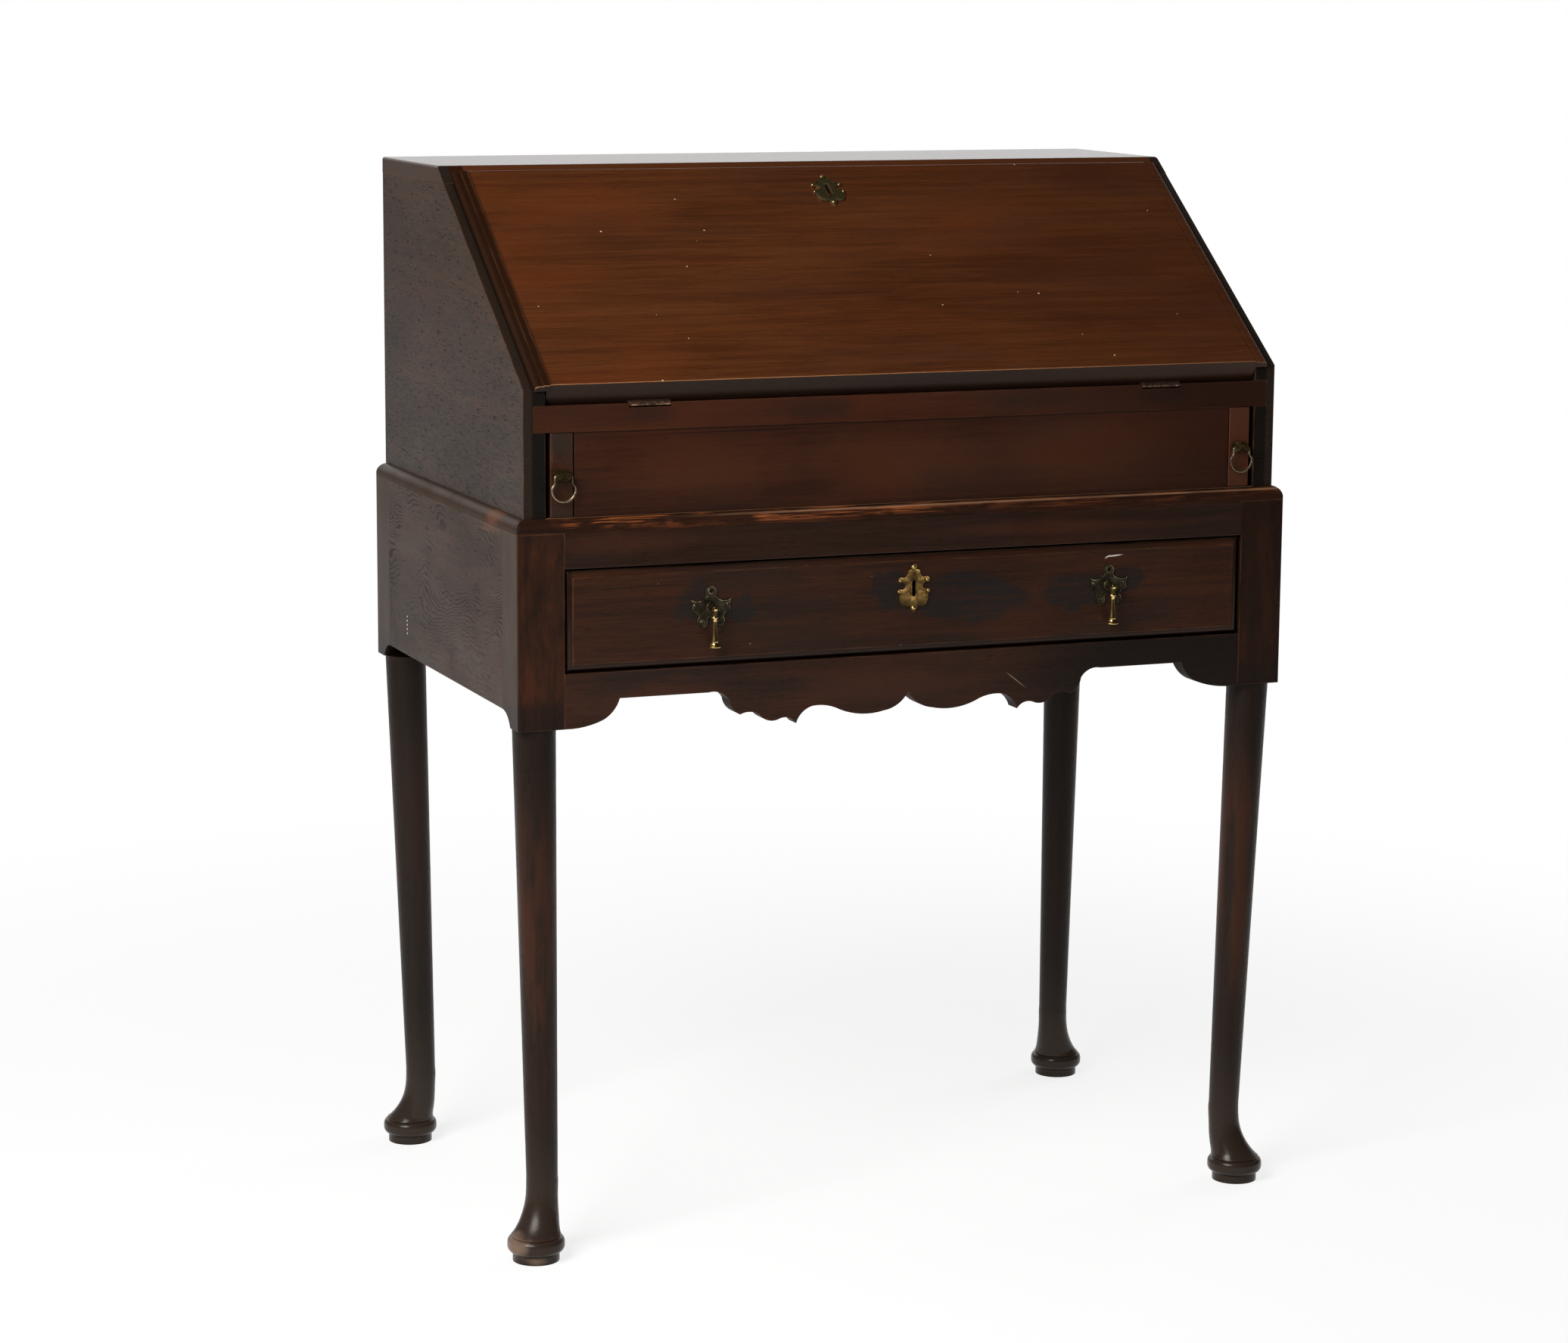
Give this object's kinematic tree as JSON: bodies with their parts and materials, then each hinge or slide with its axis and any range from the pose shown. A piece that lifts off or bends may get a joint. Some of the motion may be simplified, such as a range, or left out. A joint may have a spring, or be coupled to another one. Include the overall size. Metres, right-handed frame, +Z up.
{
  "type": "bureau on stand",
  "caption": "Slant-front writing bureau whose box sits on an open stand with a drawer, a shaped apron and turned pad-foot legs.",
  "frame": {"origin": "on the floor under the middle of the whole piece's bounding box", "axes": "+Z up, +X to the right seen from the front, +Y to the back; the front faces -Y"},
  "size_m": [0.789, 0.4826, 1.006],
  "materials": {
    "fall_mahogany": "worn wax polish",
    "box_mahogany": "dark wax polish",
    "stand_mahogany": "dark wax polish",
    "interior_mahogany": "satin",
    "oak": "dry old oak",
    "brass": "tarnished",
    "iron": "old iron"
  },
  "bodies": {
    "case": {"leg_front_left": "stand_mahogany", "leg_front_right": "stand_mahogany", "leg_back_left": "stand_mahogany", "leg_back_right": "stand_mahogany", "stand_side_left": "stand_mahogany", "stand_side_right": "stand_mahogany", "stand_back_rail": "oak", "stand_top_rail": "stand_mahogany", "stand_rim": "stand_mahogany", "apron": "stand_mahogany", "drawer_runners": "oak", "drawer_guides": "oak", "desk_side_left": "box_mahogany", "desk_side_right": "box_mahogany", "desk_top": "box_mahogany", "desk_bottom": "oak", "desk_back": "oak", "desk_front_rail": "box_mahogany", "well_front": "box_mahogany", "writing_bed": "interior_mahogany", "loper_guides": "oak", "gallery_base": "interior_mahogany", "gallery_shelf": "interior_mahogany", "inner_drawer_dividers": "interior_mahogany", "pigeonhole_partitions": "interior_mahogany", "case_hinge_leaves": "brass", "hinge_pins": "brass"},
    "fall": {"fall_board": "fall_mahogany", "fall_escutcheon": "brass", "fall_lock": "iron", "fall_hinge_leaves": "brass"},
    "fall_bolt": {"fall_lock_bolt": "iron"},
    "stand_drawer": {"drawer_front": "stand_mahogany", "drawer_side_left": "oak", "drawer_side_right": "oak", "drawer_back": "oak", "drawer_bottom": "oak", "drawer_lock": "iron", "drawer_escutcheon": "brass", "drop_pull_plates": "brass", "drop_pull_posts": "brass"},
    "drawer_bolt": {"drawer_lock_bolt": "iron"},
    "drop_left": {"drop_left": "brass"},
    "drop_right": {"drop_right": "brass"},
    "loper_left": {"loper_left": "box_mahogany", "loper_pull_left": "brass"},
    "loper_right": {"loper_right": "box_mahogany", "loper_pull_right": "brass"},
    "bail_left": {"loper_bail_left": "brass"},
    "bail_right": {"loper_bail_right": "brass"},
    "well_lid": {"well_slide": "interior_mahogany"},
    "inner_drawer_left": {"inner_drawer_left_front": "interior_mahogany", "inner_drawer_left_box": "oak", "inner_drawer_left_knob": "brass"},
    "inner_drawer_centre": {"inner_drawer_centre_front": "interior_mahogany", "inner_drawer_centre_box": "oak", "inner_drawer_centre_knob": "brass"},
    "inner_drawer_right": {"inner_drawer_right_front": "interior_mahogany", "inner_drawer_right_box": "oak", "inner_drawer_right_knob": "brass"}
  },
  "joints": [
    {"name": "fall_hinge", "type": "hinge", "parent": "case", "child": "fall", "pos_m": [0, -0.21389, 0.80253], "axis": [1, 0, 0], "range_deg": [0, 144.79]},
    {"name": "fall_lock_throw", "type": "slide", "parent": "fall", "child": "fall_bolt", "axis": [0, 0.8132, 0.582], "range_m": [0, 0.012]},
    {"name": "drawer_slide", "type": "slide", "parent": "case", "child": "stand_drawer", "axis": [0, -1, 0], "range_m": [0, 0.3]},
    {"name": "drawer_lock_throw", "type": "slide", "parent": "stand_drawer", "child": "drawer_bolt", "axis": [0, 0, 1], "range_m": [0, 0.007]},
    {"name": "drop_left_swing", "type": "hinge", "parent": "stand_drawer", "child": "drop_left", "pos_m": [-0.20301, -0.2351, 0.61308], "axis": [-1, 0, 0], "range_deg": [0, 80]},
    {"name": "drop_right_swing", "type": "hinge", "parent": "stand_drawer", "child": "drop_right", "pos_m": [0.20301, -0.2351, 0.61308], "axis": [-1, 0, 0], "range_deg": [0, 80]},
    {"name": "loper_left_slide", "type": "slide", "parent": "case", "child": "loper_left", "axis": [0, -1, 0], "range_m": [0, 0.24]},
    {"name": "bail_left_swing", "type": "hinge", "parent": "loper_left", "child": "bail_left", "pos_m": [-0.3443, -0.2223, 0.73995], "axis": [-1, 0, 0], "range_deg": [0, 95]},
    {"name": "loper_right_slide", "type": "slide", "parent": "case", "child": "loper_right", "axis": [0, -1, 0], "range_m": [0, 0.24]},
    {"name": "bail_right_swing", "type": "hinge", "parent": "loper_right", "child": "bail_right", "pos_m": [0.3443, -0.2223, 0.73995], "axis": [-1, 0, 0], "range_deg": [0, 95]},
    {"name": "inner_drawer_left_slide", "type": "slide", "parent": "case", "child": "inner_drawer_left", "axis": [0, -1, 0], "range_m": [0, 0.11]},
    {"name": "inner_drawer_centre_slide", "type": "slide", "parent": "case", "child": "inner_drawer_centre", "axis": [0, -1, 0], "range_m": [0, 0.11]},
    {"name": "inner_drawer_right_slide", "type": "slide", "parent": "case", "child": "inner_drawer_right", "axis": [0, -1, 0], "range_m": [0, 0.11]},
    {"name": "well_lid_slide", "type": "slide", "parent": "case", "child": "well_lid", "axis": [0, 1, 0], "range_m": [0, 0.15]}
  ]
}
